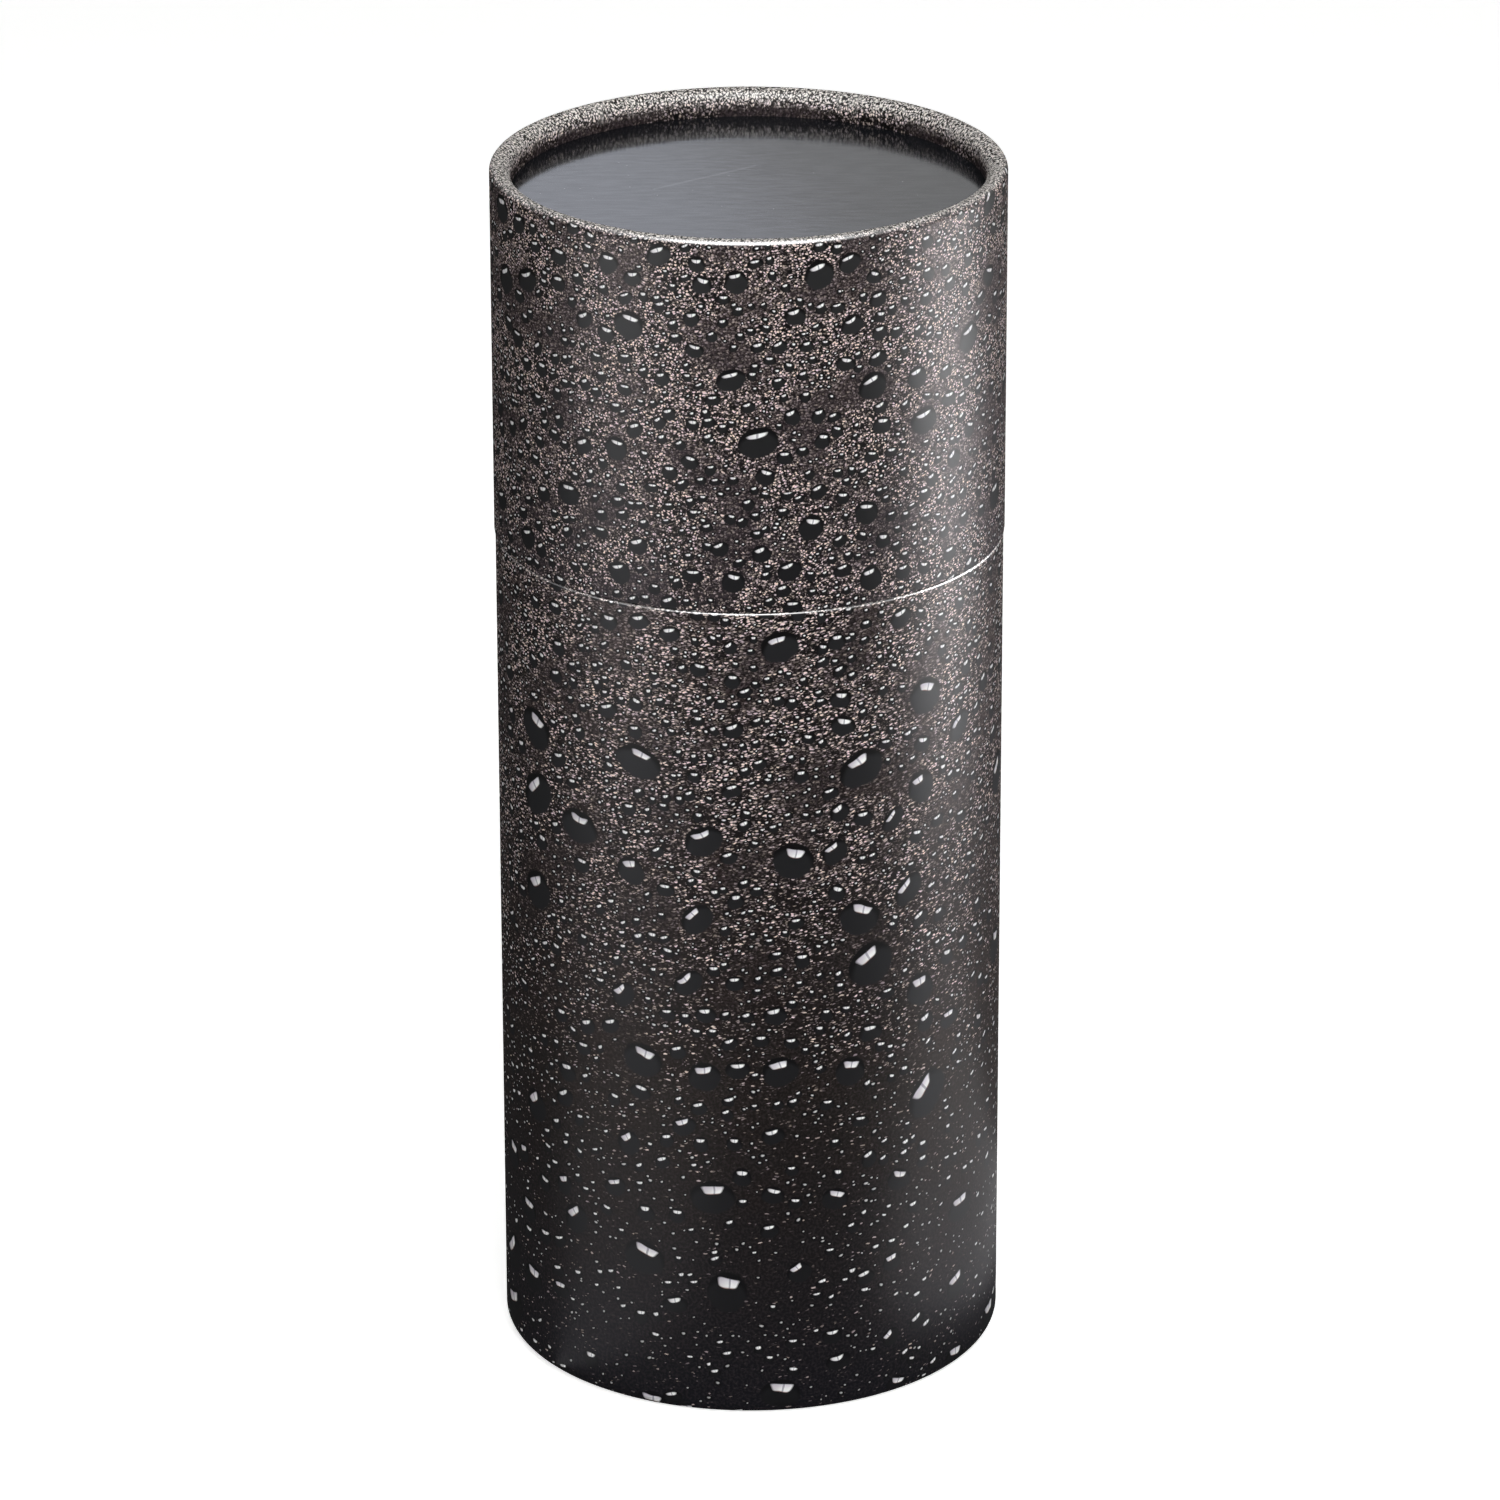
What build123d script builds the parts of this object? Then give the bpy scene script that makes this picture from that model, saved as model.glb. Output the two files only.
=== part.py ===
from build123d import *
import math
import os

# A tall round gift tube of wound board: a base with an inner neck, and a deep lid that slides over it.
# Millimetres, +Z up, origin at the centre of the ring that the foot stands on.

# Outside sizes
base_diameter = 130.0
base_height = 222.0
lid_height = 97.0
neck_rise = 60.0

# Board
tube_board = 1.5
neck_board = 1.4
disc_board = 2.0

# Paper
wrap_paper = 0.2
lining_paper = 0.15
facing_paper = 0.25
tuck_depth = 8.0
lap_width = 10.0

# Fits
slide_clearance = 0.3
disc_clearance = 0.1

# The lid's rolled rim, from its outer face over the crest to the disc
rim_outer_bend = 1.9
rim_land = 0.1
rim_inner_bend = 3.3
rim_depth = 6.9

# The base's rolled foot, from its outer face under the crest to the disc
foot_outer_bend = 4.0
foot_land = 1.0
foot_inner_bend = 1.9
foot_depth = 6.9

# Rounded edges at the mouths, measured on the paper's outer face
base_edge_round = 0.9
lid_edge_round = 0.5
neck_edge_round = 0.5
fold_round = 0.4

# Radii that follow, from the base's outer face inward, then out again to the lid's
base_radius = base_diameter / 2
base_bore = base_radius - wrap_paper - tube_board
neck_radius = base_bore - wrap_paper
neck_board_radius = neck_radius - lining_paper
neck_bore = neck_board_radius - neck_board
lid_bore = neck_radius + slide_clearance + wrap_paper
lid_radius = lid_bore + tube_board + wrap_paper

# Heights that follow
top = base_height + lid_height
lid_disc_top = top - rim_depth - facing_paper
lid_disc_bottom = lid_disc_top - disc_board
base_disc_bottom = foot_depth + facing_paper
base_disc_top = base_disc_bottom + disc_board
floor = base_disc_top + lining_paper
neck_top = base_height + neck_rise

# Rounds of the paper folded over a mouth's edge: outer corner, then inner corner
base_mouth = (base_edge_round, fold_round)
lid_mouth = (lid_edge_round, fold_round)

# A rolled end: outer bend, flat land, inner bend, and depth of the rolled leg's tip from the crest
rim_roll = (rim_outer_bend, rim_land, rim_inner_bend, rim_depth)
foot_roll = (foot_outer_bend, foot_land, foot_inner_bend, foot_depth)


def less(radii, depth):
    """Corner radii of a face that lies deeper than the outer one."""
    return tuple(radius - depth for radius in radii)


def turned(points, radii):
    """A ring turned about +Z from a closed outline of radius and height, each corner rounded."""
    outline = FilletPolyline(*points, radius=radii, close=True)
    return revolve(make_face(Plane.XZ * outline), axis=Axis.Z)


def ring(inner, outer, low, high):
    """A plain round tube."""
    return turned([(inner, low), (outer, low), (outer, high), (inner, high)], [0, 0, 0, 0])


def disc(radius, low, high):
    """A plain round plate."""
    return Pos(0, 0, low) * extrude(Circle(radius), amount=high - low)


def wrap_line(radius, mouth, crest, roll, bore, depth):
    """Half outline of a wrap at a depth under its outer face: rolled tip, crest, wall, mouth and tuck."""
    outer_bend, land, inner_bend, roll_depth = roll
    up = math.copysign(1, crest - mouth)
    leg = radius - outer_bend - land - inner_bend + depth
    wall = radius - depth
    inside = bore - wrap_paper + depth
    return [
        (leg, crest - up * roll_depth),
        (leg, crest - up * depth),
        (wall, crest - up * depth),
        (wall, mouth + up * depth),
        (inside, mouth + up * depth),
        (inside, mouth + up * tuck_depth),
    ]


def rolled_wrap(radius, mouth, crest, roll, mouth_rounds, bore):
    """Paper over a tube with one rolled end, folded round the mouth's edge and tucked inside it."""
    outer_bend, _, inner_bend, _ = roll
    rounds = (inner_bend, outer_bend, *mouth_rounds)
    outside = wrap_line(radius, mouth, crest, roll, bore, 0)
    inside = wrap_line(radius, mouth, crest, roll, bore, wrap_paper)
    radii = [0, *rounds, 0, 0, *reversed(less(rounds, wrap_paper)), 0]
    return turned(outside + inside[::-1], radii)


def rolled_board(radius, mouth, crest, roll, mouth_rounds, bore):
    """Wound board tube with one rolled end, under its wrap."""
    outer_bend, land, inner_bend, roll_depth = roll
    up = math.copysign(1, crest - mouth)
    deep = wrap_paper + tube_board
    leg = radius - outer_bend - land - inner_bend
    wall = radius - wrap_paper
    tip = crest - up * roll_depth
    points = [
        (leg + wrap_paper, tip),
        (leg + wrap_paper, crest - up * wrap_paper),
        (wall, crest - up * wrap_paper),
        (wall, mouth + up * wrap_paper),
        (bore, mouth + up * wrap_paper),
        (bore, crest - up * deep),
        (leg + deep, crest - up * deep),
        (leg + deep, tip),
    ]
    skin = less((inner_bend, outer_bend, *mouth_rounds), wrap_paper)
    core = less((outer_bend, inner_bend), deep)
    return turned(points, [0, *skin, *core, 0])


def lap(radius, low, high):
    """Second layer of paper where a wrap's end overlaps its start, at the back."""
    angle = math.degrees(lap_width / radius)
    points = [(radius, low), (radius + wrap_paper, low), (radius + wrap_paper, high), (radius, high)]
    section = make_face(Plane.XZ * Polyline(*points, close=True))
    return Rot(0, 0, 90) * revolve(section, axis=Axis.Z, revolution_arc=angle)


def lid_tube():
    """Board tube of the lid, its top edge rolled inward and down on the disc."""
    return rolled_board(lid_radius, base_height, top, rim_roll, lid_mouth, lid_bore)


def lid_wrap():
    """Printed and laminated paper round the lid."""
    paper = rolled_wrap(lid_radius, base_height, top, rim_roll, lid_mouth, lid_bore)
    return paper + lap(lid_radius, base_height + lid_edge_round, top - rim_outer_bend)


def lid_top_facing():
    """Gloss black paper on the disc, under the tip of the rolled rim."""
    return disc(lid_bore - disc_clearance, lid_disc_top, lid_disc_top + facing_paper)


def lid_top_disc():
    """Board disc that closes the lid."""
    return disc(lid_bore - disc_clearance, lid_disc_bottom, lid_disc_top)


def lid_under_facing():
    """Plain black paper on the disc's underside."""
    return disc(lid_bore - disc_clearance, lid_disc_bottom - lining_paper, lid_disc_bottom)


def lid_lining():
    """Plain black paper inside the lid, from the wrap's tuck to the disc."""
    low = base_height + tuck_depth
    return ring(lid_bore - lining_paper, lid_bore, low, lid_disc_bottom - lining_paper)


def base_tube():
    """Board tube of the base, its bottom edge rolled inward as a foot."""
    return rolled_board(base_radius, base_height, 0, foot_roll, base_mouth, base_bore)


def base_wrap():
    """Printed and laminated paper round the base."""
    paper = rolled_wrap(base_radius, base_height, 0, foot_roll, base_mouth, base_bore)
    return paper + lap(base_radius, foot_outer_bend, base_height - base_edge_round)


def base_under_facing():
    """Black paper under the base's disc, resting on the tip of the rolled foot."""
    return disc(base_bore - disc_clearance, foot_depth, base_disc_bottom)


def base_disc():
    """Board disc that closes the base."""
    return disc(base_bore - disc_clearance, base_disc_bottom, base_disc_top)


def base_floor_facing():
    """Plain black paper on the base's disc, the floor that the contents stand on."""
    return disc(base_bore - disc_clearance, base_disc_top, floor)


def neck_tube():
    """Board sleeve glued in the base, standing on its floor and rising into the lid."""
    high = neck_top - lining_paper
    points = [(neck_bore, floor), (neck_board_radius, floor), (neck_board_radius, high), (neck_bore, high)]
    return turned(points, [0, 0, *less((neck_edge_round, fold_round), lining_paper)])


def neck_wrap():
    """Black paper round the neck, folded over its top edge and tucked inside."""
    inside = neck_bore - lining_paper
    points = [
        (neck_radius, floor),
        (neck_radius, neck_top),
        (inside, neck_top),
        (inside, neck_top - tuck_depth),
        (neck_bore, neck_top - tuck_depth),
        (neck_bore, neck_top - lining_paper),
        (neck_board_radius, neck_top - lining_paper),
        (neck_board_radius, floor),
    ]
    rounds = (neck_edge_round, fold_round)
    return turned(points, [0, *rounds, 0, 0, *reversed(less(rounds, lining_paper)), 0])


def neck_lining():
    """Plain black paper inside the neck, from the floor to the wrap's tuck."""
    return ring(neck_bore - lining_paper, neck_bore, floor, neck_top - tuck_depth)


pieces = [
    lid_tube,
    lid_wrap,
    lid_top_disc,
    lid_top_facing,
    lid_under_facing,
    lid_lining,
    base_tube,
    base_wrap,
    base_disc,
    base_under_facing,
    base_floor_facing,
    neck_tube,
    neck_wrap,
    neck_lining,
]

os.makedirs("parts", exist_ok=True)
for piece in pieces:
    export_step(piece(), f"parts/{piece.__name__}.step")
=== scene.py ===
import math
import random

import bpy
from mathutils import Matrix, Quaternion, Vector


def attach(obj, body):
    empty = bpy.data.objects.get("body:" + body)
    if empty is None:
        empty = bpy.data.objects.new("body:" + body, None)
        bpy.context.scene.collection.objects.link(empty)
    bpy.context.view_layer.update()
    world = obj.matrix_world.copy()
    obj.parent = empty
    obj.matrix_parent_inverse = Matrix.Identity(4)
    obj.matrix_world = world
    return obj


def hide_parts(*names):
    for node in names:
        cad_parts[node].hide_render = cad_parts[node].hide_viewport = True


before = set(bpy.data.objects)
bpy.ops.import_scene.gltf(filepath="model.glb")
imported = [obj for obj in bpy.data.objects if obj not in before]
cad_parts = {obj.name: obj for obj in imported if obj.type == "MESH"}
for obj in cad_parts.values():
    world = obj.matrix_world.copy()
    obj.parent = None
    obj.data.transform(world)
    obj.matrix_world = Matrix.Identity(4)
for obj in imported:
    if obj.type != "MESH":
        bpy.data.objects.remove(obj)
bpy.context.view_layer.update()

# Board tubes and discs. Grey board wound from recycled paper on a mandrel, or die-cut from sheet, and
# glued. Papers cover all of it, and the colours below are those of its bare edge.
mm = 0.001


def ink(code):
    """Linear colour of an sRGB hex value."""
    parts = [int(code[i:i + 2], 16) / 255 for i in (1, 3, 5)]
    return tuple(c / 12.92 if c <= 0.04045 else ((c + 0.055) / 1.055) ** 2.4 for c in parts) + (1.0,)


def put(tree, kind, sockets=None, **settings):
    """Adds a node, makes its settings, and fills or links its input sockets."""
    made = tree.nodes.new("ShaderNode" + kind)
    for name, value in settings.items():
        setattr(made, name, value)
    for key, value in (sockets or {}).items():
        socket = made.inputs[key]
        if isinstance(key, str):
            socket = next(s for s in made.inputs if s.enabled and s.name == key)
        if isinstance(value, bpy.types.Node):
            value = next(s for s in value.outputs if s.enabled)
        if isinstance(value, bpy.types.NodeSocket):
            tree.links.new(value, socket)
        else:
            socket.default_value = value
    return made


def new_finish(name):
    """An empty material and its node tree."""
    finish = bpy.data.materials.new(name)
    finish.use_nodes = True
    finish.node_tree.nodes.clear()
    return finish, finish.node_tree


def dress(finish, *nodes):
    """Gives a finish to every material slot of the carried-over nodes."""
    for name in nodes:
        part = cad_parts[name]
        if not part.material_slots:
            part.data.materials.append(finish)
        for slot in part.material_slots:
            slot.material = finish


# Recycled fibre gives the eye a soft mottling a few millimetres wide, with darker specks of old ink.
board_mottle = 4 * mm
board_speck = 0.6 * mm
board_nap = 0.05 * mm
grey_board, tree = new_finish("recycled_grey_board_wound")
place = put(tree, "TexCoord").outputs["Object"]
mottle = put(tree, "TexNoise", {"Vector": place, "Scale": 1 / board_mottle, "Detail": 4.0})
speck = put(tree, "TexNoise", {"Vector": place, "Scale": 1 / board_speck, "Detail": 2.0})
dark = put(tree, "MapRange", {"Value": speck, "From Min": 0.62, "From Max": 0.72})
pulp = put(tree, "Mix", {"Factor": mottle, "A": ink("#8d867a"), "B": ink("#a39c8f")}, data_type="RGBA")
specked = put(tree, "Mix", {"Factor": dark, "A": pulp, "B": ink("#5f5a52")}, data_type="RGBA")
fibre = put(tree, "Bump", {"Height": speck, "Strength": 0.6, "Distance": board_nap})
shader = put(tree, "BsdfPrincipled", {"Base Color": specked, "Roughness": 0.9, "Normal": fibre})
put(tree, "OutputMaterial", {"Surface": shader})
dress(grey_board, "base_tube", "base_disc", "neck_tube", "lid_tube", "lid_top_disc")

# Printed wrap of the base. One sheet of art paper, offset printed with raindrops on a dark ground and
# laminated with a satin film. It is glued round the tube with a 10 mm overlap at the back, rolled in
# under the foot, and turned over the mouth's edge. Lengths are in millimetres.
base_radius = 65.0
base_height = 222.0
base_bore = 63.3
base_mouth_rounds = (0.9, 0.4)
paper = 0.2
tuck = 8.0
lap_width = 10.0
lap_ramp = 2.0
end_gap = 0.03
columns = 720
sharp_fold = math.radians(35)
tolerance = 0.001

# A rolled end: its outer bend, flat land, inner bend, and the depth of its tip from the crest
foot_roll = (4.0, 1.0, 1.9, 6.9)

# Creases of the paper where it is rolled, and the middle of the roll, in from the wall and the crest
crease_half_width = (0.6, 1.6)
crease_depth = (0.02, 0.13)
deepest_crease = 0.14
gathered_share = 0.6
crease_overrun = 1.0
crease_fade = 2.5
roll_middle = (3.0, 4.0)
mouth_fade = 1.0


def rounded_line(corners, rounds, steps=10, run=12.0):
    """Points on a line of radius and height with rounded square corners, its long runs divided."""
    line = []
    for i, (corner, r) in enumerate(zip(corners, rounds)):
        corner = Vector(corner)
        arc = [corner]
        if r:
            back = (Vector(corners[i - 1]) - corner).normalized()
            on = (Vector(corners[i + 1]) - corner).normalized()
            centre = corner + (back + on) * r
            turns = [math.pi / 2 * k / steps for k in range(steps + 1)]
            arc = [centre - on * r * math.cos(t) - back * r * math.sin(t) for t in turns]
        if line:
            parts = max(1, round((arc[0] - line[-1]).length / run))
            start = line[-1]
            line += [start.lerp(arc[0], k / parts) for k in range(1, parts)]
        line += arc
    return line


def wrap_corners(radius, mouth, crest, roll, bore, depth):
    """Corners of a wrap's section at a depth under its outer face, from the rolled tip to the tuck."""
    outer_bend, land, inner_bend, roll_depth = roll
    up = math.copysign(1, crest - mouth)
    leg = radius - outer_bend - land - inner_bend + depth
    inside = bore - paper + depth
    return [
        (leg, crest - up * roll_depth),
        (leg, crest - up * depth),
        (radius - depth, crest - up * depth),
        (radius - depth, mouth + up * depth),
        (inside, mouth + up * depth),
        (inside, mouth + up * tuck),
    ]


def pleats(count, middle, spread, seed):
    """Creases of the rolled paper: place along the edge, half width and depth."""
    draw = random.Random(seed)
    girth = 2 * math.pi * base_radius
    made = []
    for _ in range(count):
        where = draw.gauss(middle, spread) if draw.random() < gathered_share else draw.uniform(0, girth)
        made.append((where % girth, draw.uniform(*crease_half_width), draw.uniform(*crease_depth)))
    return made


def unit(value):
    """A value held between 0 and 1."""
    return min(1.0, max(0.0, value))


def turned_wrap(name, radius, mouth, crest, roll, mouth_rounds, bore, creases, finish):
    """The wrap as a closed thin shell, with its overlap at the back and the creases of its roll.

    Its chart, paper_mm, holds the place along the girth, and the height on the wall. Past the wall's
    ends the height runs on along the paper.
    """
    outer_bend, land, inner_bend, roll_depth = roll
    up = math.copysign(1, crest - mouth)
    rounds = (inner_bend, outer_bend, *mouth_rounds)
    thinner = [r - paper for r in rounds]
    outer = rounded_line(wrap_corners(radius, mouth, crest, roll, bore, 0), (0, *rounds, 0))
    inner = rounded_line(wrap_corners(radius, mouth, crest, roll, bore, paper), (0, *thinner, 0))
    along = [0.0]
    for a, b in zip(outer, outer[1:]):
        along.append(along[-1] + (b - a).length)
    wall = next(i for i, p in enumerate(outer) if abs(p.x - radius) < tolerance)
    heights = [outer[wall].y + up * (along[wall] - s) for s in along]
    crest_run = roll_depth - inner_bend + math.pi / 2 * inner_bend + land
    mouth_run = along[-1] - tuck - (radius - bore)
    middle = Vector((radius - roll_middle[0], crest - up * roll_middle[1]))

    # The sheet starts at the lap's end at the back and goes round once, to just short of its start
    lap_end = math.pi / 2 + lap_width / radius
    gap = end_gap / radius
    turns = [lap_end + (2 * math.pi - gap) * i / columns for i in range(columns + 1)]
    girth = radius * (turns[-1] - turns[0])
    verts = []
    for turn in turns:
        u = radius * (turn - turns[0])
        left = girth - u
        rise = unit((lap_width + lap_ramp - left) / lap_ramp)
        near = [(abs((u - c + girth / 2) % girth - girth / 2) / w, d) for c, w, d in creases]
        sunk = min(deepest_crease, sum(d * (1 - n) for n, d in near if n < 1))
        around = Vector((math.cos(turn), math.sin(turn), 0))
        ring = []
        for p, s in zip(outer, along):
            on_wall = unit((s - crest_run) / (math.pi / 2 * outer_bend))
            on_wall *= unit((mouth_run - s) / mouth_fade)
            on_roll = unit((crest_run + crease_overrun - s) / crease_fade)
            out = Vector((p.x, p.y)) - middle
            if s > crest_run or not out.length:
                out = Vector((1, 0))
            out.normalize()
            move = paper * rise * on_wall * Vector((1, 0)) - sunk * on_roll * out
            ring.append(around * (p.x + move.x) + Vector((0, 0, p.y + move.y)))
        ring += [around * p.x + Vector((0, 0, p.y)) for p in reversed(inner)]
        verts += [p * mm for p in ring]

    size = len(outer) + len(inner)
    level = heights + heights[::-1]
    faces = []
    spots = []
    for i in range(columns + 1):
        j = (i + 1) % (columns + 1)
        u0 = radius * (turns[i] - turns[0])
        u1 = radius * (turns[j] - turns[0]) if j else u0 + end_gap
        for k in range(size):
            n = (k + 1) % size
            face = [(i, u0, k), (j, u1, k), (j, u1, n), (i, u0, n)]
            if up > 0:
                face = face[::-1]
            faces.append([column * size + row for column, _, row in face])
            spots += [(u, level[row]) for _, u, row in face]
    mesh = bpy.data.meshes.new(name)
    mesh.from_pydata(verts, [], faces)
    chart = mesh.uv_layers.new(name="paper_mm")
    chart.data.foreach_set("uv", [c for spot in spots for c in spot])
    mesh.shade_smooth()
    mesh.set_sharp_from_angle(angle=sharp_fold)
    mesh.materials.append(finish)
    wrap = bpy.data.objects.new(name, mesh)
    bpy.context.scene.collection.objects.link(wrap)
    return wrap


# The print gives the eye beads of water standing on black glass, among a fine pale spray. A drop is a
# dark lens with a blacker rim and one window-like glint near its top. It is drawn in millimetres on the
# flat sheet, with noise scales per millimetre. One cell of a scattered lattice holds one drop.
layer_shift = (37.0, 91.0)

# For every drop: the power that makes small ones common, the radii of a larger drop that it keeps clear
# of, its least and greatest half width in its own radii, and the curve of its glint
common_small = 1.3
clear_of_larger = 1.25
drop_width = (0.9, 1.5)
glint_bend = -0.15

# Drops whose cells are larger than these, in millimetres, are held to their room or have a split glint
roomy_cell = 5
split_cell = 3

# Four sizes of drop. Cell and radius are in millimetres, tilt in radians, and halo, glint and raise in
# drop radii. Scatter is how far the lattice strays. Blunt squares the glint's outline, and crisp is how
# far out it stays bright. Swell and faint are its size and strength at the wall's foot, where those at
# the top are 1. Each wrap adds share, the cells filled at the foot and the top, and the lens's tone.
tiny_drop = {
    "cell": 2.3, "scatter": 0.9, "radius": (0.5, 0.95), "halo": 0.9, "glint": (0.48, 0.35), "raise": 0.1,
    "blunt": 2.2, "crisp": 0.6, "tilt": (0.2, -0.45), "swell": 1.0, "faint": 1.0, "window": False,
}
small_drop = {
    "cell": 4.0, "scatter": 0.85, "radius": (1.0, 1.6), "halo": 0.65, "glint": (0.52, 0.27), "raise": 0.3,
    "blunt": 2.6, "crisp": 0.65, "tilt": (0.2, -0.45), "swell": 1.0, "faint": 1.0, "window": False,
}
middle_drop = {
    "cell": 8.5, "scatter": 0.75, "radius": (1.5, 2.9), "halo": 0.4, "glint": (0.5, 0.2), "raise": 0.4,
    "blunt": 2.8, "crisp": 0.75, "tilt": (0.25, -0.5), "swell": 1.0, "faint": 1.0, "window": False,
}
large_drop = {
    "cell": 19.0, "scatter": 0.7, "radius": (2.6, 6.0), "halo": 0.25, "glint": (0.4, 0.18), "raise": 0.4,
    "blunt": 4.0, "crisp": 0.85, "tilt": (0.35, -0.8), "swell": 1.4, "faint": 1.0, "window": True,
}


def nearest_drop(tree, where, edges, kind, seed):
    """The drop of one size nearest to a place: its centre, radius and lot, and whether it is there."""
    shift = (layer_shift[0] * seed, layer_shift[1] * seed, 0.0)
    sheet = put(tree, "VectorMath", {0: where, 1: shift}, operation="ADD")
    lattice = {"Vector": sheet, "Scale": 1 / kind["cell"], "Randomness": kind["scatter"]}
    cells = put(tree, "TexVoronoi", lattice, voronoi_dimensions="2D")
    centre = put(tree, "VectorMath", {0: cells.outputs["Position"], 1: shift}, operation="SUBTRACT")
    lot = put(tree, "SeparateColor", {0: cells.outputs["Color"]})
    skew = put(tree, "Math", {0: lot.outputs["Red"], 1: common_small}, operation="POWER")
    small, large = kind["radius"]
    radius = put(tree, "MapRange", {"Value": skew, "To Min": small, "To Max": large})
    height = put(tree, "SeparateXYZ", {0: centre}).outputs["Y"]
    rise = put(tree, "MapRange", {"Value": height, "From Min": edges[0], "From Max": edges[1]})
    at_foot, at_top = kind["share"]
    share = put(tree, "MapRange", {"Value": rise, "To Min": at_foot, "To Max": at_top})
    there = put(tree, "Math", {0: lot.outputs["Blue"], 1: share}, operation="LESS_THAN")
    return centre, radius, lot, there, rise, lattice


def glint_light(tree, side, rise, kind):
    """A drop's glint: its colour, and how much of it falls on a place in the drop."""
    square = put(tree, "Math", {0: side.outputs["X"], 1: side.outputs["X"]}, operation="MULTIPLY")
    bent = {0: square, 1: glint_bend, 2: side.outputs["Y"]}
    bent = put(tree, "Math", bent, operation="MULTIPLY_ADD")
    raised = put(tree, "Math", {0: bent, 1: kind["raise"]}, operation="SUBTRACT")
    swell = put(tree, "MapRange", {"Value": rise, "To Min": kind["swell"], "To Max": 1.0})
    spot = put(tree, "CombineXYZ", {"X": side.outputs["X"], "Y": raised})
    spot = put(tree, "VectorMath", {0: spot, 1: (*kind["glint"], 1.0)}, operation="DIVIDE")
    spot = put(tree, "VectorMath", {0: spot, 1: swell}, operation="DIVIDE")
    at = put(tree, "SeparateXYZ", {0: spot})
    edge = put(tree, "VectorMath", {0: spot}, operation="ABSOLUTE")
    edge = put(tree, "SeparateXYZ", {0: edge})

    # Its outline is a rounded bar, wider at the top, by a power mean of the two distances
    taper = {"Value": at.outputs["Y"], "From Min": -1.0, "To Min": 1.3, "To Max": 0.9}
    taper = put(tree, "MapRange", taper)
    across = put(tree, "Math", {0: edge.outputs["X"], 1: taper}, operation="MULTIPLY")
    across = put(tree, "Math", {0: across, 1: kind["blunt"]}, operation="POWER")
    up = put(tree, "Math", {0: edge.outputs["Y"], 1: kind["blunt"]}, operation="POWER")
    far = put(tree, "Math", {0: across, 1: up}, operation="ADD")
    far = put(tree, "Math", {0: far, 1: 1 / kind["blunt"]}, operation="POWER")
    glint = put(tree, "MapRange", {"Value": far, "From Min": 1.05, "From Max": kind["crisp"]})

    # It is white at one end and greyer at the other, and the larger ones are split by a dark bar
    lobe = put(tree, "MapRange", {"Value": at.outputs["X"], "From Min": -1.0, "From Max": 0.2})
    light = put(tree, "Mix", {"Factor": lobe, "A": ink("#c4bfc4"), "B": ink("#ffffff")}, data_type="RGBA")
    if kind["window"]:
        pane = {"Value": at.outputs["Y"], "From Min": -0.4, "From Max": 0.9, "To Max": 0.6}
        pane = put(tree, "MapRange", pane)
        light = put(tree, "Mix", {"Factor": pane, "A": light, "B": ink("#bdb6c6")}, data_type="RGBA")
        glow = put(tree, "MapRange", {"Value": at.outputs["Y"], "From Min": -0.7, "From Max": -1.0})
        light = put(tree, "Mix", {"Factor": glow, "A": light, "B": ink("#8a4a22")}, data_type="RGBA")
    if kind["cell"] > split_cell:
        split = put(tree, "Math", {0: at.outputs["X"], 1: 0.1, 2: 0.09}, operation="COMPARE")
        split = put(tree, "Math", {0: split, 1: 0.55}, operation="MULTIPLY")
        light = put(tree, "Mix", {"Factor": split, "A": light, "B": ink("#55506a")}, data_type="RGBA")
    return light, glint


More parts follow.
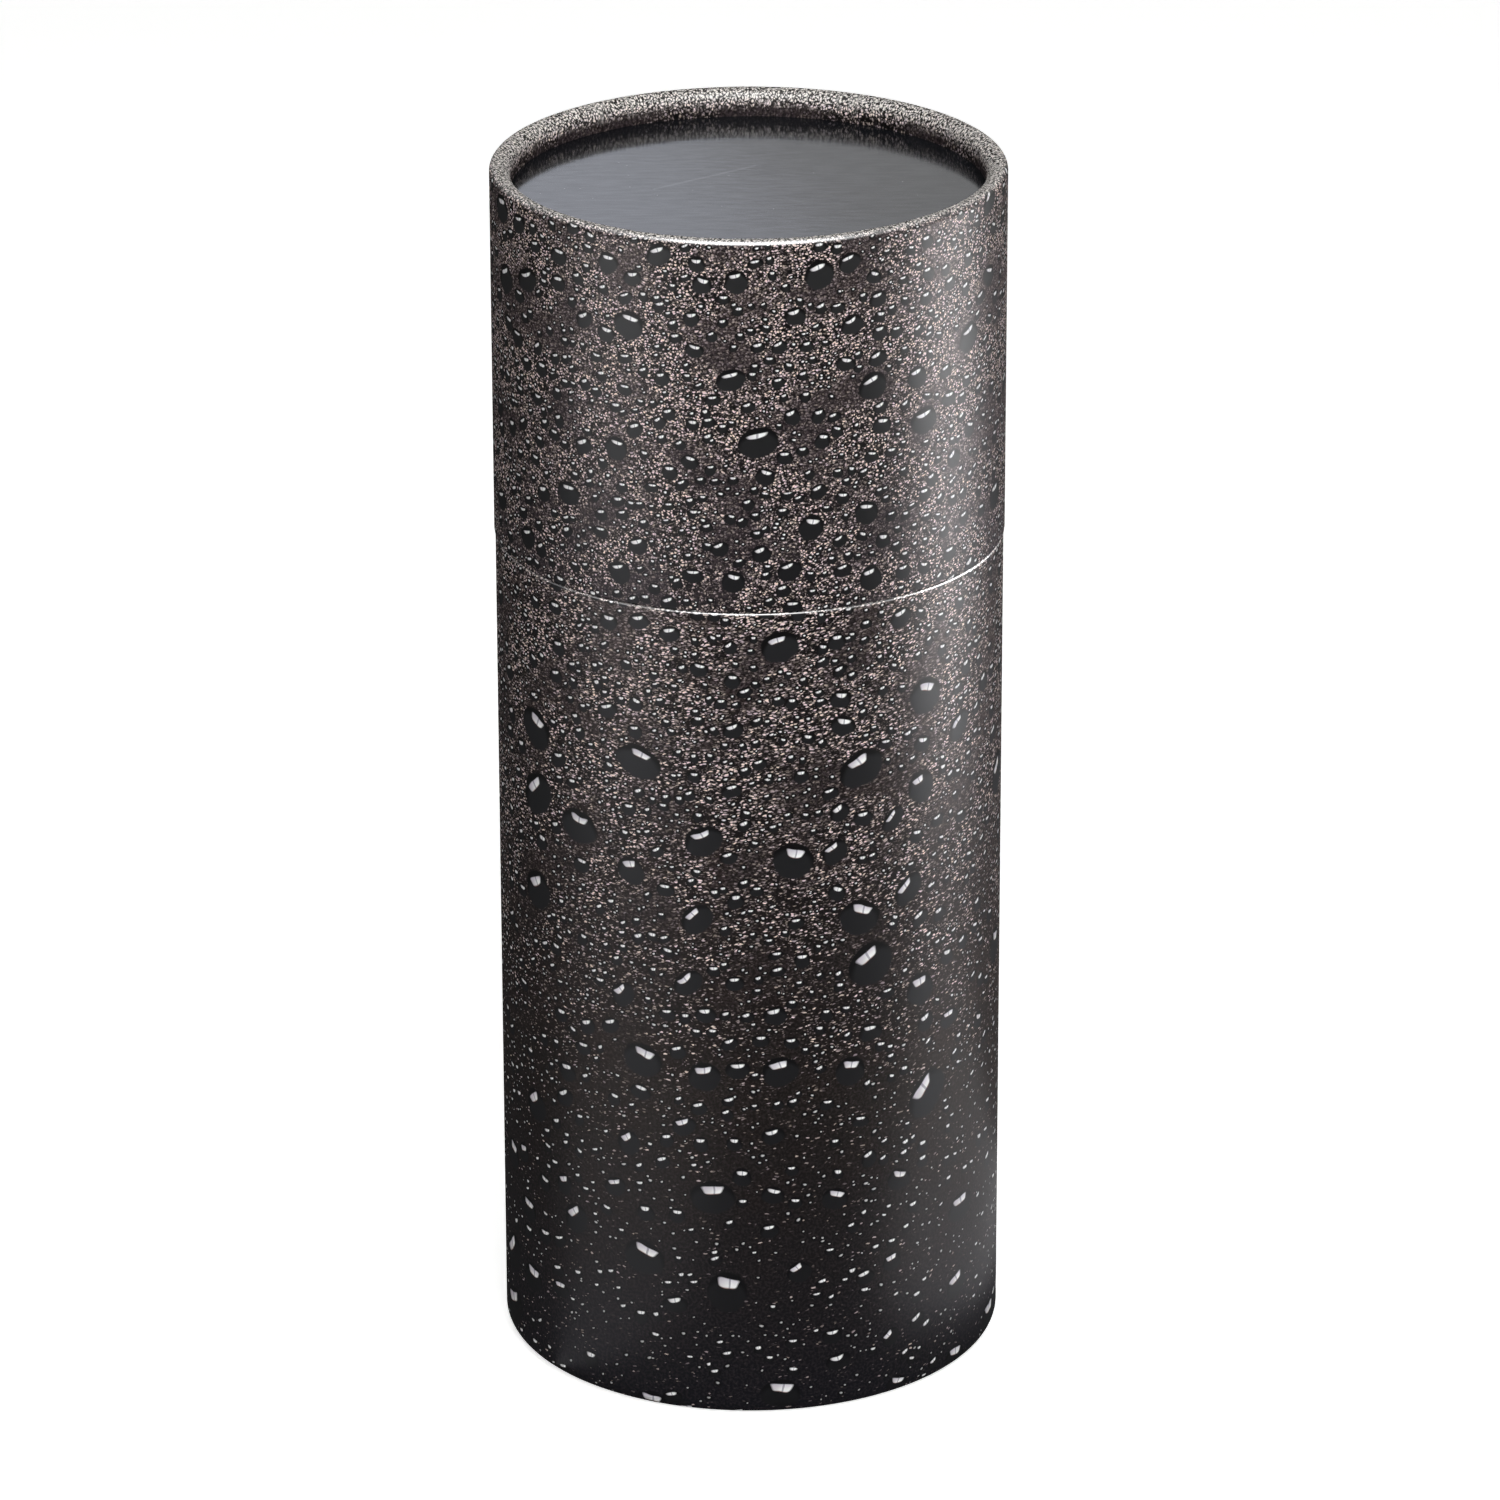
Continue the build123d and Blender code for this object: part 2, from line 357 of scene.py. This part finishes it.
def drop_layer(tree, place, edges, under, kind, seed, larger):
    """Prints one size of raindrop over a colour, each drop clear of the larger ones."""
    centre, radius, lot, there, rise, lattice = nearest_drop(tree, place, edges, kind, seed)
    for other_seed, other in larger:
        found = nearest_drop(tree, centre, edges, other, other_seed)
        other_centre, other_radius, _, other_there, _, _ = found
        gap = put(tree, "VectorMath", {0: centre, 1: other_centre}, operation="DISTANCE")
        need = {0: other_radius, 1: clear_of_larger, 2: radius}
        need = put(tree, "Math", need, operation="MULTIPLY_ADD")
        clash = put(tree, "Math", {0: gap.outputs["Value"], 1: need}, operation="LESS_THAN")
        clash = put(tree, "Math", {0: clash, 1: other_there}, operation="MULTIPLY")
        there = put(tree, "Math", {0: there, 1: clash}, operation="GREATER_THAN")

    # The drop's outline: an ellipse, tilted by lot, the larger ones held inside their cell
    narrow, wide = drop_width
    half = put(tree, "MapRange", {"Value": lot.outputs["Green"], "To Min": narrow, "To Max": wide})
    half = put(tree, "Math", {0: radius, 1: half}, operation="MULTIPLY")
    if kind["cell"] > roomy_cell:
        room = put(tree, "TexVoronoi", lattice, voronoi_dimensions="2D", feature="N_SPHERE_RADIUS")
        room = put(tree, "Math", {0: room, 1: kind["cell"]}, operation="MULTIPLY")
        radius = put(tree, "Math", {0: radius, 1: room}, operation="MINIMUM")
        half = put(tree, "Math", {0: half, 1: room}, operation="MINIMUM")
    box = put(tree, "CombineXYZ", {"X": half, "Y": radius, "Z": 1.0})
    local = put(tree, "VectorMath", {0: place, 1: centre}, operation="SUBTRACT")
    second_lot = put(tree, "Math", {0: lot.outputs["Green"], 1: 9.0}, operation="MULTIPLY")
    second_lot = put(tree, "Math", {0: second_lot}, operation="FRACT")
    left, right = kind["tilt"]
    spin = put(tree, "MapRange", {"Value": second_lot, "To Min": left, "To Max": right})
    local = put(tree, "VectorRotate", {"Vector": local, "Angle": spin}, rotation_type="Z_AXIS")
    flat = put(tree, "VectorMath", {0: local, 1: box}, operation="DIVIDE")
    reach = put(tree, "VectorMath", {0: flat}, operation="LENGTH").outputs["Value"]
    inside = put(tree, "MapRange", {"Value": reach, "From Min": 1.0, "From Max": 0.9})
    cover = put(tree, "Math", {0: inside, 1: there}, operation="MULTIPLY")

    # Its lens, and the black halo that is widest at the top
    side = put(tree, "SeparateXYZ", {0: flat})
    lean = put(tree, "Math", {0: side.outputs["Y"], 1: 0.5, 2: reach}, operation="MULTIPLY_ADD")
    halo = kind["halo"]
    shade = put(tree, "MapRange", {"Value": lean, "From Min": 1.0 - halo, "From Max": 1.1 - 0.4 * halo})
    clear = {"Factor": rise, "A": ink("#161618"), "B": ink(kind["lens"])}
    clear = put(tree, "Mix", clear, data_type="RGBA")
    black = put(tree, "Mix", {"Factor": rise, "A": ink("#0d0d0f"), "B": ink("#030303")}, data_type="RGBA")
    lens = put(tree, "Mix", {"Factor": shade, "A": clear, "B": black}, data_type="RGBA")
    drop = put(tree, "Mix", {"Factor": cover, "A": under, "B": lens}, data_type="RGBA")

    light, glint = glint_light(tree, side, rise, kind)
    lit = put(tree, "Math", {0: glint, 1: cover}, operation="MULTIPLY")
    faint = put(tree, "MapRange", {"Value": rise, "To Min": kind["faint"], "To Max": 1.0})
    lit = put(tree, "Math", {0: lit, 1: faint}, operation="MULTIPLY")
    return put(tree, "Mix", {"Factor": lit, "A": drop, "B": light}, data_type="RGBA")


def rain_print(name, edges, shine, ground, spray, stretch, grains, drops):
    """The laminated raindrop print of one sheet.

    edges: heights of the wall's foot and top. shine: depths under the top where the stronger film
    starts and is full, and its weight. ground: inks at the foot, at 0.4 of the height and at the top.
    spray: shares of the height where the spray starts and is densest, and its density at both.
    stretch: under 1, the spray's dots lie wide and flat. grains: layers of dots, each with its cell, a
    seed, a gain in brightness and the share of its cells that are filled. drops: sizes of drop.
    """
    finish, tree = new_finish(name)
    foot, top = edges
    chart = put(tree, "UVMap", uv_map="paper_mm").outputs["UV"]
    height = put(tree, "SeparateXYZ", {0: chart}).outputs["Y"]
    rise = put(tree, "MapRange", {"Value": height, "From Min": foot, "From Max": top})

    # The drawing is bent by up to 0.6 mm, so that no drop is a true ellipse, and stretched past the top
    wobble = {"Vector": chart, "Scale": 0.18, "Detail": 1.0}
    wobble = put(tree, "TexNoise", wobble, noise_dimensions="2D").outputs["Color"]
    wobble = put(tree, "VectorMath", {0: wobble, 1: (0.5, 0.5, 0.5)}, operation="SUBTRACT")
    place = put(tree, "VectorMath", {0: wobble, 1: (1.2, 1.2, 0), 2: chart}, operation="MULTIPLY_ADD")
    over = {"Value": height, "From Min": top + 1, "From Max": top + 11, "To Max": -3}
    over = put(tree, "MapRange", over)
    drag = put(tree, "CombineXYZ", {"Y": over})
    place = put(tree, "VectorMath", {0: place, 1: drag}, operation="ADD")

    # Ground: near-black inks, with rusty clouds about 17 mm wide towards the top
    low, middle, high = (ink(code) for code in ground)
    tone = put(tree, "ValToRGB", {0: rise})
    ramp = tone.color_ramp.elements
    ramp[0].color = low
    ramp[1].color = high
    ramp.new(0.4).color = middle
    cloud = put(tree, "TexNoise", {"Vector": chart, "Scale": 0.06, "Detail": 3.0}, noise_dimensions="2D")
    rust = put(tree, "SeparateColor", {0: cloud.outputs["Color"]}).outputs["Green"]
    rust = put(tree, "MapRange", {"Value": rust, "From Min": 0.45, "From Max": 0.65, "To Max": 0.6})
    rust = put(tree, "Math", {0: rust, 1: rise}, operation="MULTIPLY")
    tone = put(tree, "Mix", {"Factor": rust, "A": tone, "B": ink("#1f1512")}, data_type="RGBA")

    # Top edge, the lid's rolled rim or the base's mouth: a painted highlight on its crest, dimmer down the
    # bore
    crown = put(tree, "MapRange", {"Value": height, "From Min": top - 1.2, "From Max": top + 0.3})
    bore = put(tree, "MapRange", {"Value": height, "From Min": top + 8.5, "From Max": top + 4.5})
    crown = put(tree, "Math", {0: crown, 1: bore}, operation="MULTIPLY")
    # Painted highlight: the crest's ground paler, its black pools fewer and its dots four times brighter
    crest_highlight = put(tree, "Math", {0: crown, 1: 0.8}, operation="MULTIPLY")
    crest_highlight_thinning = put(tree, "MapRange", {"Value": crown, "To Min": 1.0, "To Max": 0.45})
    flare = put(tree, "Math", {0: crown, 1: 3.0, 2: 1.0}, operation="MULTIPLY_ADD")
    depth = put(tree, "MapRange", {"Value": bore, "To Min": 0.25})
    flare = put(tree, "Math", {0: flare, 1: depth}, operation="MULTIPLY")

    # How much spray there is: patches like breath on glass, and more of it up the sheet
    patch = put(tree, "MapRange", {"Value": cloud, "From Min": 0.38, "From Max": 0.6, "To Min": 0.14})
    # The painted highlight fills the crest with spray
    patch = put(tree, "Math", {0: patch, 1: crown}, operation="MAXIMUM")
    starts, densest, least, most = spray
    level = {"Value": rise, "From Min": starts, "From Max": densest, "To Min": least, "To Max": most}
    level = put(tree, "MapRange", level, interpolation_type="SMOOTHSTEP")
    lively = put(tree, "Math", {0: patch, 1: level}, operation="MULTIPLY")
    lively = put(tree, "Math", {0: lively, 1: crest_highlight_thinning}, operation="MULTIPLY")
    dim = put(tree, "MapRange", {"Value": level, "From Max": 0.6, "To Min": 0.28})
    dim = put(tree, "Math", {0: dim, 1: patch}, operation="MULTIPLY")

    # Haze: the spray that is too fine to print as dots, in tufts under a millimetre wide
    haze = put(tree, "TexNoise", {"Vector": place, "Scale": 1.3, "Detail": 1.0}, noise_dimensions="2D")
    haze = put(tree, "MapRange", {"Value": haze, "From Min": 0.4, "From Max": 0.7})
    veil = put(tree, "MapRange", {"Value": level, "To Min": 0.2})
    haze = put(tree, "Math", {0: haze, 1: veil}, operation="MULTIPLY")
    haze = put(tree, "Math", {0: haze, 1: 0.4}, operation="MULTIPLY")
    colour = put(tree, "Mix", {"Factor": haze, "A": tone, "B": ink("#605356")}, data_type="RGBA")
    # Painted highlight: a paler ground on the crest
    colour = put(tree, "Mix", {"Factor": crest_highlight, "A": colour, "B": ink("#4b4845")}, data_type="RGBA")

    # Spray: pale dots 0.5 to 0.9 mm apart, each in a black pool, strewn so that no lattice shows
    strewn = put(tree, "TexNoise", {"Vector": chart, "Scale": 0.7}, noise_dimensions="2D").outputs["Color"]
    strewn = put(tree, "VectorMath", {0: strewn, 1: (0.5, 0.5, 0.5)}, operation="SUBTRACT")
    strewn = put(tree, "VectorMath", {0: strewn, 1: (1.2, 0.7, 0), 2: place}, operation="MULTIPLY_ADD")
    for grain in grains:
        seed = grain["seed"]
        flat = put(tree, "VectorRotate", {"Vector": strewn, "Angle": -0.15}, rotation_type="Z_AXIS")
        flat = put(tree, "VectorMath", {0: flat, 1: (stretch, 1 / stretch, 1)}, operation="MULTIPLY")
        flat = put(tree, "VectorMath", {0: flat, 1: (seed, seed, 0)}, operation="ADD")
        dots = put(tree, "TexVoronoi", {"Vector": flat, "Scale": 1 / grain["cell"]}, voronoi_dimensions="2D")
        lot = put(tree, "SeparateColor", {0: dots.outputs["Color"]})
        near = dots.outputs["Distance"]
        # The painted highlight fills every cell on the crest
        share = put(tree, "MapRange", {"Value": crown, "To Min": grain["share"], "To Max": 1.0})
        here = put(tree, "Math", {0: level, 1: share}, operation="MULTIPLY")
        here = put(tree, "Math", {0: lot.outputs["Blue"], 1: here}, operation="LESS_THAN")
        pool = put(tree, "MapRange", {"Value": near, "From Min": 0.8, "From Max": 0.5})
        pool = put(tree, "Math", {0: pool, 1: lively}, operation="MULTIPLY")
        bright = put(tree, "Math", {0: lot.outputs["Red"], 1: grain["gain"]}, operation="MULTIPLY")
        bright = put(tree, "Math", {0: bright, 1: dim}, operation="MULTIPLY")
        bright = put(tree, "Math", {0: bright, 1: flare}, operation="MULTIPLY", use_clamp=True)
        spark = put(tree, "MapRange", {"Value": near, "From Min": 0.42, "From Max": 0.2})
        spark = put(tree, "Math", {0: spark, 1: here}, operation="MULTIPLY")
        spark = put(tree, "Math", {0: spark, 1: bright}, operation="MULTIPLY")
        pale = {"Factor": lot.outputs["Green"], "A": ink("#ffeada"), "B": ink("#f3dde6")}
        pale = put(tree, "Mix", pale, data_type="RGBA")
        # Painted highlight: whiter dots on the crest
        pale = put(tree, "Mix", {"Factor": crest_highlight, "A": pale, "B": ink("#fffdf7")}, data_type="RGBA")
        colour = put(tree, "Mix", {"Factor": pool, "A": colour, "B": ink("#060505")}, data_type="RGBA")
        colour = put(tree, "Mix", {"Factor": spark, "A": colour, "B": pale}, data_type="RGBA")

    # Pale streaks here and there, where the print was stretched over the top edge
    streak = put(tree, "VectorMath", {0: chart, 1: (1.0, 0.08, 0)}, operation="MULTIPLY")
    streak = put(tree, "TexNoise", {"Vector": streak, "Scale": 0.9, "Detail": 2.0}, noise_dimensions="2D")
    streak = put(tree, "MapRange", {"Value": streak, "From Min": 0.56, "From Max": 0.66})
    some = put(tree, "TexNoise", {"Vector": chart, "Scale": 0.025, "Detail": 1.0}, noise_dimensions="2D")
    some = put(tree, "MapRange", {"Value": some, "From Min": 0.5, "From Max": 0.6, "To Max": 0.45})
    streak = put(tree, "Math", {0: streak, 1: some}, operation="MULTIPLY")
    streak = put(tree, "Math", {0: streak, 1: crown}, operation="MULTIPLY")
    colour = put(tree, "Mix", {"Factor": streak, "A": colour, "B": ink("#b9b6b2")}, data_type="RGBA")

    # Drops, up to the top edge and not past it, the larger over the smaller
    bare = colour
    sizes = list(enumerate(drops, 1))
    for seed, kind in sizes:
        colour = drop_layer(tree, place, edges, colour, kind, seed, sizes[seed:])
    rim = put(tree, "MapRange", {"Value": height, "From Min": top - 0.5, "From Max": top + 0.5})
    colour = put(tree, "Mix", {"Factor": rim, "A": colour, "B": bare}, data_type="RGBA")

    # Satin film, a faintly uneven clear coat of high index and low weight, which gives soft upright bands.
    # On the bend at the top edge it is stretched tight and shines, so its weight is greater there.
    peel = put(tree, "TexNoise", {"Vector": chart, "Scale": 0.35, "Detail": 2.0}, noise_dimensions="2D")
    bump = put(tree, "Bump", {"Height": peel, "Strength": 0.25, "Distance": 0.02 * mm})
    start, full, weight = shine
    onset = put(tree, "MapRange", {"Value": height, "From Min": top - start, "From Max": top - full})
    fade = {"Value": height, "From Min": top - full + 1.3, "From Max": top - full + 0.7}
    fade = put(tree, "MapRange", fade)
    bend = put(tree, "Math", {0: onset, 1: fade}, operation="MULTIPLY")
    film = put(tree, "MapRange", {"Value": bend, "To Min": 0.02, "To Max": weight})
    surface = {
        "Base Color": colour,
        "Roughness": 0.6,
        "Specular IOR Level": 0.0,
        "Coat Weight": film,
        "Coat Roughness": 0.4,
        "Coat IOR": 2.0,
        "Coat Normal": bump,
        "Normal": bump,
    }
    put(tree, "OutputMaterial", {"Surface": put(tree, "BsdfPrincipled", surface)})
    return finish


base_print = rain_print(
    "offset_print_satin_laminate_base",
    edges=(0.0, base_height),
    shine=(0.7, 0.5, 0.4),
    ground=("#111217", "#191614", "#141011"),
    spray=(0.22, 1.08, 0.045, 1.0),
    stretch=0.68,
    grains=[
        {"cell": 0.6, "seed": 5.0, "gain": 0.75, "share": 1.0},
        {"cell": 0.88, "seed": 0.0, "gain": 2.1, "share": 0.68},
    ],
    drops=[
        {**tiny_drop, "share": (0.2, 0.7), "lens": "#161517", "swell": 1.1, "faint": 0.45},
        {**small_drop, "share": (0.11, 0.65), "lens": "#19191b", "swell": 1.15},
        {**middle_drop, "share": (0.3, 0.7), "lens": "#1e1e20", "swell": 1.1},
        {**large_drop, "share": (0.7, 0.16), "lens": "#202022"},
    ],
)
base_wrap = turned_wrap(
    "base_printed_wrap",
    base_radius,
    mouth=base_height,
    crest=0.0,
    roll=foot_roll,
    mouth_rounds=base_mouth_rounds,
    bore=base_bore,
    creases=pleats(60, middle=200.0, spread=90.0, seed=11),
    finish=base_print,
)
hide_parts("base_wrap")
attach(base_wrap, "base")

# Plain black papers of the base and the neck. Uncoated paper dyed black in the pulp, glued to the
# board: under the foot, on the floor inside, round the neck and in it.
formation = 12 * mm

# It gives the eye a dull soft black with paler fibres. They are drawn 0.25 mm wide, several times coarser
# than real ones, so as to show.
fibre_width = 0.25 * mm
black_paper, tree = new_finish("uncoated_black_paper_dyed")
place = put(tree, "TexCoord").outputs["Object"]
felt = put(tree, "TexNoise", {"Vector": place, "Scale": 1 / formation, "Detail": 3.0})
hair = put(tree, "TexNoise", {"Vector": place, "Scale": 1 / fibre_width, "Detail": 3.0})
dye = put(tree, "Mix", {"Factor": felt, "A": ink("#242425"), "B": ink("#303031")}, data_type="RGBA")
paler = put(tree, "MapRange", {"Value": hair, "From Min": 0.5, "From Max": 0.75, "To Max": 0.5})
dyed = put(tree, "Mix", {"Factor": paler, "A": dye, "B": ink("#505053")}, data_type="RGBA")
nap = put(tree, "Bump", {"Height": hair, "Strength": 0.5, "Distance": 0.03 * mm})
shader = {"Base Color": dyed, "Roughness": 0.72, "IOR": 1.5, "Specular IOR Level": 0.0, "Normal": nap}
put(tree, "OutputMaterial", {"Surface": put(tree, "BsdfPrincipled", shader)})
dress(black_paper, "base_under_facing", "base_floor_facing", "neck_wrap", "neck_lining")

# Printed wrap of the lid. The same paper and film in a second sheet, rolled inward over the lid's top
# and turned in at its mouth. Its spray is finer and denser than the base's. Lengths in millimetres.
lid_radius = 65.3
lid_top = 319.0
lid_bore = 63.6
lid_mouth_rounds = (0.5, 0.4)
rim_roll = (1.9, 0.1, 3.3, 6.9)
lid_small_drop = {**small_drop, "glint": (0.54, 0.26), "raise": 0.35}
lid_middle_drop = {**middle_drop, "cell": 7.8, "radius": (1.5, 2.6), "glint": (0.52, 0.19), "raise": 0.42}
lid_large_drop = {
    **lid_middle_drop, "cell": 16.0, "scatter": 0.6, "radius": (2.6, 4.2), "halo": 0.3, "glint": (0.5, 0.15),
}
lid_print = rain_print(
    "offset_print_satin_laminate_lid",
    edges=(base_height, lid_top),
    shine=(1.1, 0.6, 0.2),
    ground=("#221e22", "#1e191c", "#1b1618"),
    spray=(0.0, 0.8, 0.68, 1.0),
    stretch=0.9,
    grains=[
        {"cell": 0.52, "seed": 5.0, "gain": 0.85, "share": 1.0},
        {"cell": 0.76, "seed": 0.0, "gain": 2.1, "share": 0.8},
    ],
    drops=[
        {**tiny_drop, "share": (0.75, 0.7), "lens": "#1c1b1d", "glint": (0.48, 0.34)},
        {**lid_small_drop, "share": (0.7, 0.7), "lens": "#212122"},
        {**lid_middle_drop, "share": (0.75, 0.75), "lens": "#262627"},
        {**lid_large_drop, "share": (0.4, 0.4), "lens": "#272728"},
    ],
)
lid_wrap = turned_wrap(
    "lid_printed_wrap",
    lid_radius,
    mouth=base_height,
    crest=lid_top,
    roll=rim_roll,
    mouth_rounds=lid_mouth_rounds,
    bore=lid_bore,
    creases=pleats(90, middle=200.0, spread=60.0, seed=7),
    finish=lid_print,
)
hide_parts("lid_wrap")
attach(lid_wrap, "lid")

# Facing of the lid's top. Cast-coated black paper glued on the disc under the rolled rim, with one faint
# crease from the gluing, which has stronger gloss and a painted highlight.
crease_across = (-0.601, 0.8, 0)
crease_offset = 13.2 * mm
crease_half = 0.5 * mm
crease_centre = -11 * mm
crease_reach = 13 * mm

# Its gloss gives the eye nearly a mirror, dulled by dust and rubbing. The rubbing is streaks 1.6 mm wide,
# wider than real ones so as to show.
rub_width = 1.6 * mm
rub_stretch = 0.2
coat_wave = 30 * mm
dust_spacing = 5 * mm
gloss_black, tree = new_finish("cast_coated_black_paper_gloss")
place = put(tree, "TexCoord").outputs["Object"]
swells = put(tree, "TexNoise", {"Vector": place, "Scale": 1 / coat_wave, "Detail": 3.0})
dust = put(tree, "TexVoronoi", {"Vector": place, "Scale": 1 / dust_spacing}).outputs["Distance"]
mote = put(tree, "MapRange", {"Value": dust, "From Min": 0.05, "From Max": 0.02})
brush = put(tree, "VectorMath", {0: place, 1: (rub_stretch, 1, 1)}, operation="MULTIPLY")
brush = put(tree, "TexNoise", {"Vector": brush, "Scale": 1 / rub_width, "Detail": 4.0})
brush = put(tree, "MapRange", {"Value": brush, "From Min": 0.35, "From Max": 0.65})
black = put(tree, "Mix", {"Factor": brush, "A": ink("#0f1114"), "B": ink("#1a1c20")}, data_type="RGBA")
black = put(tree, "Mix", {"Factor": mote, "A": black, "B": ink("#77777a")}, data_type="RGBA")
across = put(tree, "VectorMath", {0: place, 1: crease_across}, operation="DOT_PRODUCT").outputs["Value"]
crease = put(tree, "Math", {0: across, 1: crease_offset, 2: crease_half}, operation="COMPARE")
along = put(tree, "SeparateXYZ", {0: place}).outputs["X"]
reach = put(tree, "Math", {0: along, 1: crease_centre, 2: crease_reach}, operation="COMPARE")
crease = put(tree, "Math", {0: crease, 1: reach}, operation="MULTIPLY")
# Painted highlight: the crease's line a little paler
crease_highlight = put(tree, "Math", {0: crease, 1: 0.04}, operation="MULTIPLY")
black = put(tree, "Mix", {"Factor": crease_highlight, "A": black, "B": ink("#9a9ca4")}, data_type="RGBA")
glaze = put(tree, "Math", {0: crease, 1: 1.1, 2: brush}, operation="MULTIPLY_ADD")
glaze = put(tree, "Math", {0: glaze, 1: 0.08}, operation="MULTIPLY")
rough = put(tree, "MapRange", {"Value": swells, "To Min": 0.08, "To Max": 0.13})
felt = put(tree, "VectorMath", {0: place, 1: (0.4, 1, 1)}, operation="MULTIPLY")
felt = put(tree, "TexNoise", {"Vector": felt, "Scale": 1 / rub_width, "Detail": 2.0})
grain = put(tree, "Bump", {"Height": felt, "Strength": 0.6, "Distance": 0.02 * mm})
wave = put(tree, "Bump", {"Height": swells, "Strength": 0.3, "Distance": 0.05 * mm, "Normal": grain})
shader = {
    "Base Color": black,
    "Roughness": rough,
    "IOR": 1.5,
    "Specular IOR Level": 0.15,
    "Specular Tint": (0.9, 0.93, 1.0, 1.0),
    "Normal": wave,
    "Coat Weight": glaze,
    "Coat Roughness": 0.1,
    "Coat IOR": 1.5,
    "Coat Normal": wave,
}
put(tree, "OutputMaterial", {"Surface": put(tree, "BsdfPrincipled", shader)})
dress(gloss_black, "lid_top_facing")

# Plain black papers inside the lid, on the disc's underside and round the wall.
dress(black_paper, "lid_under_facing", "lid_lining")

# Floor. A plain pale sheet far wider than the view, white to the camera and in reflections, which keeps
# the tube's soft shadow.
floor_half = 15.0
floor_drop = -0.02 * mm
floor_glow = 0.72


def seen_directly(tree):
    """1 for rays from the camera, a reflection or clear material, and 0 for those that light things."""
    ray = put(tree, "LightPath").outputs
    seen = put(tree, "Math", {0: ray["Is Camera Ray"], 1: ray["Is Glossy Ray"]}, operation="MAXIMUM")
    return put(tree, "Math", {0: seen, 1: ray["Is Transmission Ray"]}, operation="MAXIMUM")


floor_paper, tree = new_finish("pale_floor_paper")
matte = put(tree, "BsdfDiffuse", {"Color": ink("#ececea")})
glow = put(tree, "Math", {0: seen_directly(tree), 1: floor_glow}, operation="MULTIPLY")
white = put(tree, "Emission", {"Color": (1, 1, 1, 1), "Strength": glow})
put(tree, "OutputMaterial", {"Surface": put(tree, "AddShader", {0: matte, 1: white})})
mesh = bpy.data.meshes.new("floor")
corners = [(x * floor_half, y * floor_half, floor_drop) for x, y in ((-1, -1), (1, -1), (1, 1), (-1, 1))]
mesh.from_pydata(corners, [], [(0, 1, 2, 3)])
mesh.materials.append(floor_paper)
floor = bpy.data.objects.new("floor", mesh)
bpy.context.scene.collection.objects.link(floor)

# Room. White to the camera and in reflections, and a softer white for the light that fills the shadows.
room = bpy.data.worlds.new("room")
room.use_nodes = True
tree = room.node_tree
tree.nodes.clear()
level = put(tree, "MapRange", {"Value": seen_directly(tree), "To Min": 0.15, "To Max": 1.0})
sky = put(tree, "Background", {"Color": (1, 1, 1, 1), "Strength": level})
put(tree, "OutputWorld", {"Surface": sky})
bpy.context.scene.world = room

# Lamps. Two soft boxes light the tube, from the front and from overhead. The other six are seen in
# reflections only: on the wall the upright bands at the right and left, which those near the floor carry
# down to the foot, the bright line on the rim and the seam, and the cool grey on the lid's gloss paper.


def soft_box(name, where, aim, width, height, power, turn=0.0):
    """A rectangular lamp at a place, turned to a point."""
    lamp = bpy.data.lights.new(name, "AREA")
    lamp.shape = "RECTANGLE"
    lamp.size = width
    lamp.size_y = height
    lamp.energy = power
    made = bpy.data.objects.new(name, lamp)
    made.location = where
    look = (Vector(aim) - Vector(where)).to_track_quat("-Z", "Y")
    made.rotation_euler = (look @ Quaternion((0, 0, 1), math.radians(turn))).to_euler()
    bpy.context.scene.collection.objects.link(made)
    return made


soft_box("front_soft_box", (0.3, -1.5, 1.3), (0, 0, 0.2), 1.0, 1.0, 24.0)
soft_box("top_soft_box", (0, 0.25, 1.5), (0, 0, 0.3), 1.1, 0.8, 4.0)
for name, where, aim, width, height, power, turn, tint in (
    ("right_sheen_strip", (0.35, 0.01, 0.2), (0, 0.01, 0.2), 0.22, 0.28, 18.0, 0, "#ffffff"),
    ("right_floor_sheen", (0.23, 0.0, 0.003), (0.23, 0.0, 1), 0.3, 0.18, 3.2, 0, "#ffffff"),
    ("left_sheen_box", (-0.37, -0.27, 0.2), (0, 0, 0.2), 0.34, 0.28, 6.5, 0, "#ffffff"),
    ("left_floor_sheen", (-0.2, -0.17, 0.003), (-0.2, -0.17, 1), 0.3, 0.26, 1.65, 0, "#ffffff"),
    ("front_sheen_box", (0, -0.85, 1.6), (0, -0.75, 0.25), 1.2, 1.1, 520.0, 0, "#ffffff"),
    ("back_sheen_box", (-0.42, 3.0, 1.72), (-0.42, 0, 0.75), 1.2, 1.2, 4.6, 45, "#dfe7ff"),
):
    made = soft_box(name, where, aim, width, height, power, turn)
    made.data.color = ink(tint)[:3]
    made.visible_diffuse = False
    made.visible_camera = False

# Camera. A long lens from the front, a little above, as in the photograph.
view = bpy.data.cameras.new("camera")
view.sensor_fit = "HORIZONTAL"
view.sensor_width = 36.0
view.lens = 192.8
camera = bpy.data.objects.new("camera", view)
eye = Vector((0, -1.9309, 0.9306))
aim = Vector((0, 0, 0.1595))
look = (aim - eye).to_track_quat("-Z", "Y").to_matrix().to_4x4()
lean = Matrix.Rotation(math.radians(-0.14), 4, "Z")
camera.matrix_world = Matrix.Translation(eye) @ look @ lean
bpy.context.scene.collection.objects.link(camera)
bpy.context.scene.camera = camera
bpy.context.scene.view_settings.view_transform = "Standard"
